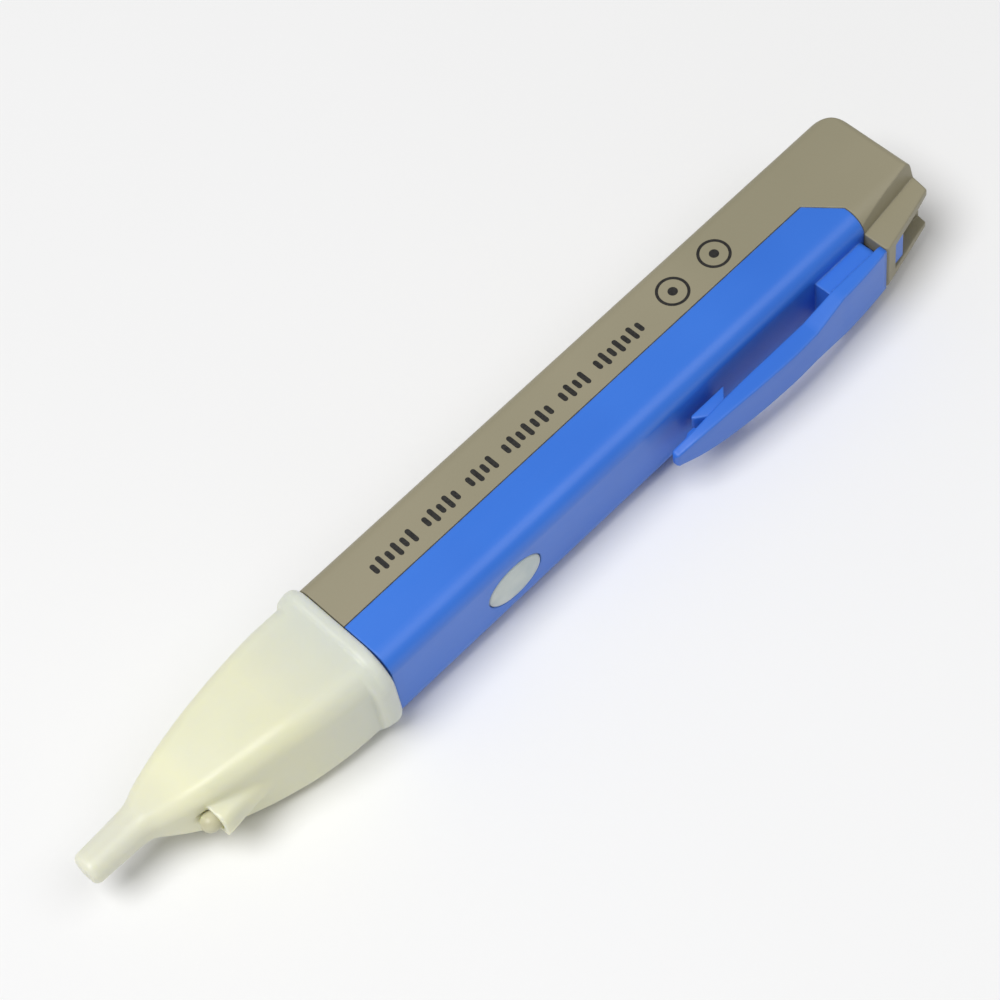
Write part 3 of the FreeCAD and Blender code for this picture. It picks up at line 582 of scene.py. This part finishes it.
# Where the hood melts into the cone: between two values of x and in front of one of y, each
# fading in over a width. The wall of the lamp's bore is left out.
MELT_START = 17.6
MELT_START_WIDTH = 2.5
MELT_END = 31.0
MELT_END_WIDTH = 2.0
MELT_Y = -3.0
MELT_Y_WIDTH = 1.0
BORE_MARGIN = 0.15
MELT_PASSES = 70
# The moulding's mesh: the size of its voxels, and the passes that ease out their steps.
VOXEL = 0.2
EASE_PASSES = 9


def half_round(x, start, crest, end):
    """Two shares at x: how far the bead has risen, and how far it has dropped behind its crest."""
    before = ramp(crest[0] - x, crest[0] - start)
    behind = ramp(x - crest[1], end - crest[1])
    return math.sqrt(1 - before**2), 1 - math.sqrt(1 - behind**2)


def collar_ring(x):
    """Ring across the collar, where the cone swells into the bead."""
    rise, drop = half_round(x, BEAD_START, BEAD_CREST, COLLAR_END)
    side_rise, side_drop = half_round(x, SIDE_BEAD_START, SIDE_BEAD_CREST, COLLAR_END)
    cone = smooth_at(TIP_STATIONS, x)
    shares = (rise, rise, side_rise, rise, rise)
    front, back, half, front_radius, back_radius = [
        low + (high - low) * share for low, high, share in zip(cone, COLLAR, shares)
    ]
    front += BEAD_FALL * drop
    back -= BEAD_FALL * drop
    half -= SIDE_BEAD_FALL * side_drop
    return ring_points(x, front, back, half, front_radius, back_radius)


def tip_rings():
    """Rings from the nose back over the outside, then forward again through the hollow."""
    rings = []
    for turn in quarter_turn(NOSE_STEPS):
        x = NOSE_ROUNDING * (1 - math.cos(turn))
        inset = NOSE_ROUNDING * (1 - math.sin(turn))
        rings.append(ring_points(x, *smooth_at(TIP_STATIONS, x), inset=inset))
    x = NOSE_ROUNDING + RING_STEP
    while x < BEAD_START:
        rings.append(ring_points(x, *smooth_at(TIP_STATIONS, x)))
        x += RING_STEP
    for step in range(BEAD_STEPS + 1):
        rings.append(collar_ring(BEAD_START + (COLLAR_END - BEAD_START) * step / BEAD_STEPS))
    rings.append(ring_points(COLLAR_END, *NECK))
    rings.append(ring_points(NECK_END, *NECK))
    rings.append(ring_points(NECK_END, *NECK, inset=NECK_WALL))
    rings.append(ring_points(COLLAR_END, *NECK, inset=NECK_WALL))
    x = HOLLOW_FULL
    while x > HOLLOW_START:
        rings.append(ring_points(x, *smooth_at(TIP_STATIONS, x), inset=TIP_WALL))
        x -= RING_STEP
    return rings


def tube(name, reach, y, radius):
    """Round cutter along the pen."""
    mesh = bmesh.new()
    turns = full_turn(48)
    skin(mesh, [[pen(x, y + radius * math.cos(turn), radius * math.sin(turn)) for turn in turns]
                for x in reach])
    return object_from(mesh, name, TIP)


def add_smooth(obj, name, passes):
    """Smooth modifier that moves each point halfway to its neighbours, a number of times."""
    smooth = obj.modifiers.new(name, "SMOOTH")
    smooth.factor = 0.5
    smooth.iterations = passes
    return smooth


def blend_hood(tip):
    """Melt the hood's sides and tail into the cone, leaving its mouth as it is."""
    zone = tip.vertex_groups.new(name="hood_blend")
    for vertex in tip.data.vertices:
        x = (vertex.co.x - PEN_X) / MM
        y = (vertex.co.y - PEN_Y) / MM
        z = (vertex.co.z - PEN_Z) / MM
        along = ramp(x - MELT_START, MELT_START_WIDTH) * ramp(MELT_END - x, MELT_END_WIDTH)
        weight = along * ramp(MELT_Y - y, MELT_Y_WIDTH)
        in_bore = math.hypot(y - LAMP_Y, z) < LAMP_BORE + BORE_MARGIN
        if weight > 0 and not in_bore:
            zone.add([vertex.index], weight, "REPLACE")
    melt = add_smooth(tip, "melt", MELT_PASSES)
    melt.vertex_group = "hood_blend"
    bake_modifiers(tip)


def probe_tip():
    """Milky cone, collar and lamp hood as one soft hollow moulding."""
    mesh = bmesh.new()
    skin(mesh, tip_rings())
    tip = object_from(mesh, "tip_moulding", TIP)
    mesh = bmesh.new()
    skin(mesh, [ring_points(*station) for station in HOOD_STATIONS])
    hood = object_from(mesh, "tip_hood", TIP)
    lamp_bore = tube("lamp_bore", LAMP_REACH, LAMP_Y, LAMP_BORE)
    sensor_bore = tube("sensor_bore", SENSOR_REACH, SENSOR_Y, SENSOR_BORE)
    for other, operation in ((hood, "UNION"), (lamp_bore, "DIFFERENCE"), (sensor_bore, "DIFFERENCE")):
        boolean = tip.modifiers.new(operation, "BOOLEAN")
        boolean.object = other
        boolean.operation = operation
        boolean.solver = "EXACT"
    soft = tip.modifiers.new("soft", "REMESH")
    soft.mode = "VOXEL"
    soft.voxel_size = VOXEL * MM
    add_smooth(tip, "ease", EASE_PASSES)
    bake_modifiers(tip)
    for other in (hood, lamp_bore, sensor_bore):
        bpy.data.objects.remove(other)
    blend_hood(tip)
    shade_smooth(tip)
    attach(tip, "housing")
    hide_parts("probe_tip")


# ---- pocket clip -----------------------------------------------------------------

# Sections along the clip: x, outer y, inner y, half width.
CLIP_STATIONS = [
    (99.0, -13.1, -11.72, 1.45),
    (103.0, -13.75, -12.1, 2.5),
    (108.0, -14.3, -12.1, 3.15),
    (114.0, -14.77, -12.1, 3.4),
    (121.0, -15.03, -12.1, 3.4),
    (125.8, -14.9, -12.1, 3.4),
]
ROOT_START = (125.8, -14.9, -12.1, 3.4)
ROOT_WIDE = (132.3, -14.33, -12.1, 4.7)
ROOT_END = (142.35, -13.45, -12.1, 4.7)
# The arm's free end: where it starts, the middle of its depth in y, how far its rounding
# reaches along x, half its depth, and half its width at the start and how much that grows.
ARM_END_X = 98.3
ARM_END_Y = -12.41
ARM_ROUNDING = 0.7
ARM_HALF_DEPTH = 0.69
ARM_HALF_WIDTH = 0.6
ARM_WIDTH_GAIN = 0.85
ARM_END_STEPS = 5
ARM_START = 99.5
ARM_STEP = 0.75
# Radii of the clip's outer and inner corners.
CLIP_CORNER = 0.28
CLIP_INNER_CORNER = 0.2
WIDENING_STEPS = 7
BLOCK_STEPS = 12
BLOCK_BULGE = 0.12
# The root's skin stands this far outside the CAD root, which it hides, and its end is drawn in.
ROOT_PROUD = 0.05
ROOT_END_INSET = 0.2
# Side views of the two ribs on the arm's inner face, as x and y, and half their widths.
LUG_OUTLINE = [
    (105.9, -12.4), (104.2, -11.05), (103.9, -10.6),
    (104.25, -10.35), (110.9, -10.35), (108.9, -12.4),
]
LUG_HALF_WIDTH = 2.7
RIB_OUTLINE = [(100.1, -12.4), (102.3, -11.35), (103.5, -11.35), (103.9, -12.4)]
RIB_HALF_WIDTH = 1.6
RIB_ROUNDING = 0.16


def clip_ring(x, outer, inner, half, radius=CLIP_CORNER, inset=0.0):
    return ring_points(x, outer, inner, half, radius, min(radius, CLIP_INNER_CORNER), inset)


def arm_rings():
    """Rings from the arm's rounded free end to the root."""
    rings = []
    for turn in quarter_turn(ARM_END_STEPS)[1:]:
        reach = math.sin(turn)
        x = ARM_END_X + ARM_ROUNDING * (1 - math.cos(turn))
        outer = ARM_END_Y - ARM_HALF_DEPTH * reach
        inner = ARM_END_Y + ARM_HALF_DEPTH * reach
        half = ARM_HALF_WIDTH + ARM_WIDTH_GAIN * reach
        rings.append(clip_ring(x, outer, inner, half, CLIP_CORNER * reach))
    x = ARM_START
    while x < ROOT_START[0]:
        rings.append(clip_ring(x, *smooth_at(CLIP_STATIONS, x)))
        x += ARM_STEP
    return rings


def between(first, last, share):
    """Section a share of the way from the first one to the last."""
    return [low + (high - low) * share for low, high in zip(first, last)]


def root_rings():
    """Rings over the root: first it widens, then it runs on as a block with a faint bulge."""
    rings = []
    for step in range(WIDENING_STEPS + 1):
        share = step / WIDENING_STEPS
        x, outer, inner, half = between(ROOT_START, ROOT_WIDE, share)
        rings.append(clip_ring(x, outer, inner, half + ROOT_PROUD * share))
    for step in range(1, BLOCK_STEPS + 1):
        share = step / BLOCK_STEPS
        x, outer, inner, half = between(ROOT_WIDE, ROOT_END, share)
        outer -= BLOCK_BULGE * math.sin(math.pi * share) + ROOT_PROUD
        rings.append(clip_ring(x, outer, inner, half + ROOT_PROUD))
    x, outer, inner, half = ROOT_END
    rings.append(clip_ring(x + ROOT_PROUD, outer, inner, half, inset=ROOT_END_INSET))
    return rings


def pocket_clip():
    """Sprung arm and its root as one moulding."""
    mesh = bmesh.new()
    skin(mesh, arm_rings() + root_rings())
    clip = object_from(mesh, "clip_moulding", BLUE)
    shade_smooth(clip)
    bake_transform(clip)
    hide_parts("pocket_clip")
    side_piece("clip_lug", LUG_OUTLINE, LUG_HALF_WIDTH)
    side_piece("clip_tip_rib", RIB_OUTLINE, RIB_HALF_WIDTH)


def side_piece(name, outline, half):
    """Prism with softened edges, drawn in the side view, on the clip."""
    mesh = bmesh.new()
    skin(mesh, [[pen(x, y, z) for x, y in outline] for z in (-half, half)])
    piece = object_from(mesh, name, BLUE)
    bevel = piece.modifiers.new("edges", "BEVEL")
    bevel.width = RIB_ROUNDING * MM
    bevel.segments = 3
    bevel.limit_method = "ANGLE"
    bake_modifiers(piece)
    shade_smooth(piece)
    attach(piece, "clip")


# ---- power button ----------------------------------------------------------------

KEY_HALF_LENGTH = 4.95
KEY_HALF_WIDTH = 3.5
# The key's side view: reach, as a share of those halves, and depth from DOME below its crown.
DOME = 0.22
KEY_PROFILE = [
    (0.02, -0.22), (0.35, -0.2), (0.62, -0.13), (0.8, -0.05), (0.9, 0.03),
    (0.96, 0.12), (1.0, 0.3), (1.0, 0.8), (1.0, 1.11),
]
KEY_FLANGE = [(1.16, 1.13), (1.16, 1.73)]


def power_button():
    """Domed oval key with a softly rolled rim, and its flange inside the shell."""
    low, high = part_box("power_button")
    centre_x = (low.x + high.x) / 2
    top = (low.y - PEN_Y) / MM
    mesh = bmesh.new()
    rings = []
    for reach, depth in KEY_PROFILE + KEY_FLANGE:
        ring = []
        for turn in full_turn(64):
            point = pen(0, top + DOME + depth, KEY_HALF_WIDTH * reach * math.sin(turn))
            point.x = centre_x + KEY_HALF_LENGTH * reach * math.cos(turn) * MM
            ring.append(point)
        rings.append(ring)
    skin(mesh, rings)
    key = object_from(mesh, "button_key", BUTTON)
    shade_smooth(key)
    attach(key, "button")
    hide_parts("power_button")


# ---- solder ----------------------------------------------------------------------

# Where the leads meet the board, as x and z.
SOLDER_PLACES = [(33.5, -3.2), (34.2, -1.27), (34.2, 1.27), (53.2, 0.0)]
# Side view of one fillet: radius, and height above the board.
SOLDER_PROFILE = [
    (0.85, -0.02), (0.82, 0.05), (0.62, 0.12), (0.48, 0.26), (0.4, 0.45), (0.3, 0.6), (0.12, 0.66),
]


def solder_joints():
    """Flared solder fillets where the leads meet the board's upper face."""
    face = (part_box("circuit_board")[1].y - PEN_Y) / MM
    turns = full_turn(24)
    mesh = bmesh.new()
    for x, z in SOLDER_PLACES:
        skin(mesh, [[pen(x + radius * math.cos(turn), face + height, z + radius * math.sin(turn))
                     for turn in turns] for radius, height in SOLDER_PROFILE])
    joints = object_from(mesh, "solder_joints", SOLDER)
    shade_smooth(joints)
    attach(joints, "housing")


# ---- printed marks ---------------------------------------------------------------

INK_THICKNESS = 0.02
# The row of ticks: its y, where it starts in x, the step from tick to tick, and how many
# ticks each group has.
TICKS_Y = 3.0
TICKS_START = 55.6
TICK_PITCH = 1.42
TICK_GROUPS = (6, 5, 4, 7, 4, 7)
TICK_WIDTH = 0.78
SHORT_TICK = 1.8
TALL_TICK = 2.6
TICK_END_STEPS = 6
# The two ring marks, each with a dot in the middle.
RING_PLACES = (115.7, 124.4)
RING_Y = 3.6
RING_OUTER = 2.55
RING_INNER = 2.1
DOT_RADIUS = 0.75


def flat_mark(name, patches):
    """Raised ink on the upward side. A patch is an outline of (x, y) points, and a hole or None."""
    mesh = bmesh.new()
    level = (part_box("rear_shell")[1].z - PEN_Z) / MM + INK_THICKNESS
    for outline, hole in patches:
        outer = [mesh.verts.new(pen(x, y, level)) for x, y in outline]
        if hole is None:
            mesh.faces.new(outer)
            continue
        inner = [mesh.verts.new(pen(x, y, level)) for x, y in hole]
        for index in range(len(outer)):
            after = (index + 1) % len(outer)
            mesh.faces.new((outer[index], outer[after], inner[after], inner[index]))
    extruded = bmesh.ops.extrude_face_region(mesh, geom=mesh.faces[:])
    moved = [item for item in extruded["geom"] if isinstance(item, bmesh.types.BMVert)]
    bmesh.ops.translate(mesh, verts=moved, vec=(0, 0, -INK_THICKNESS * MM))
    mark = object_from(mesh, name, INK)
    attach(mark, "cover")


def capsule(x, y, width, height):
    """Outline of an upright bar with round ends."""
    radius = width / 2
    straight = height / 2 - radius
    points = []
    for centre, start in ((straight, 0), (-straight, 180)):
        for step in range(TICK_END_STEPS + 1):
            turn = math.radians(start + 180 * step / TICK_END_STEPS)
            points.append((x + radius * math.cos(turn), y + centre + radius * math.sin(turn)))
    return points


def circle(x, y, radius):
    return [(x + radius * math.cos(turn), y + radius * math.sin(turn)) for turn in full_turn(48)]


def printed_marks():
    """A row of plain ticks in groups, then two ring marks towards the cap."""
    ticks = []
    x = TICKS_START
    for group in TICK_GROUPS:
        for index in range(group):
            height = TALL_TICK if index % 2 else SHORT_TICK
            ticks.append((capsule(x, TICKS_Y, TICK_WIDTH, height), None))
            x += TICK_PITCH
        x += TICK_PITCH
    flat_mark("print_ticks", ticks)
    rings = []
    for x in RING_PLACES:
        rings.append((circle(x, RING_Y, RING_OUTER), circle(x, RING_Y, RING_INNER)))
        rings.append((circle(x, RING_Y, DOT_RADIUS), None))
    flat_mark("print_rings", rings)


# ---- studio ----------------------------------------------------------------------

FLOOR_SIZE = 4.0
SKY_STRENGTH = 0.28
LIGHT_SIZE = 0.8
# Name, place and watts of each lamp. Both are aimed at the frame's origin.
LIGHTS = [
    ("key_light", (-0.5, 0.1, 1.2), 12.2),
    ("front_light", (0.32, -0.42, 0.92), 2.4),
]


def area_light(name, location, power):
    data = bpy.data.lights.new(name, "AREA")
    data.shape = "DISK"
    data.size = LIGHT_SIZE
    data.energy = power
    obj = bpy.data.objects.new(name, data)
    obj.location = location
    direction = -Vector(location)
    obj.rotation_euler = direction.to_track_quat("-Z", "Y").to_euler()
    bpy.context.collection.objects.link(obj)


def studio():
    """Pale floor under the pen, an even white sky and two soft lamps."""
    bpy.ops.mesh.primitive_plane_add(size=FLOOR_SIZE, location=(0, 0, cad_box[0][2]))
    floor = bpy.context.object
    floor.name = "studio_floor"
    floor.data.materials.append(floor_material())
    world = bpy.data.worlds.new("studio_world")
    world.use_nodes = True
    sky = world.node_tree.nodes["Background"]
    sky.inputs["Color"].default_value = (1.0, 1.0, 1.0, 1.0)
    sky.inputs["Strength"].default_value = SKY_STRENGTH
    bpy.context.scene.world = world
    for name, location, power in LIGHTS:
        area_light(name, location, power)


# Where the camera stands, seen from the middle of the pen, in degrees and metres. The shifts
# move it along its own right and up, to place the pen in the picture.
MIDDLE_X = 77.5
AZIMUTH = -34.83
ELEVATION = 58.61
ROLL = -11.99
DISTANCE = 0.3843
SHIFT_RIGHT = -0.00125
SHIFT_UP = 0.0009
FOCAL_LENGTH = 98.38
NEAR_CLIP = 0.01


def camera():
    """Looks down on the printed side from the nose end, rolled a little to the left."""
    azimuth = math.radians(AZIMUTH)
    elevation = math.radians(ELEVATION)
    roll = math.radians(ROLL)
    flat = math.cos(elevation)
    back = Vector((math.sin(azimuth) * flat, -math.cos(azimuth) * flat, math.sin(elevation)))
    level_right = Vector((math.cos(azimuth), math.sin(azimuth), 0))
    level_up = back.cross(level_right)
    right = math.cos(roll) * level_right + math.sin(roll) * level_up
    up = back.cross(right)
    place = pen(MIDDLE_X, 0, 0) + back * DISTANCE + right * SHIFT_RIGHT + up * SHIFT_UP
    data = bpy.data.cameras.new("camera")
    data.lens = FOCAL_LENGTH
    data.clip_start = NEAR_CLIP
    obj = bpy.data.objects.new("camera", data)
    obj.matrix_world = Matrix((
        (right.x, up.x, back.x, place.x),
        (right.y, up.y, back.y, place.y),
        (right.z, up.z, back.z, place.z),
        (0, 0, 0, 1),
    ))
    bpy.context.collection.objects.link(obj)
    bpy.context.scene.camera = obj


paint_nodes()
probe_tip()
pocket_clip()
power_button()
solder_joints()
printed_marks()
studio()
camera()
bpy.context.scene.view_settings.view_transform = "Standard"
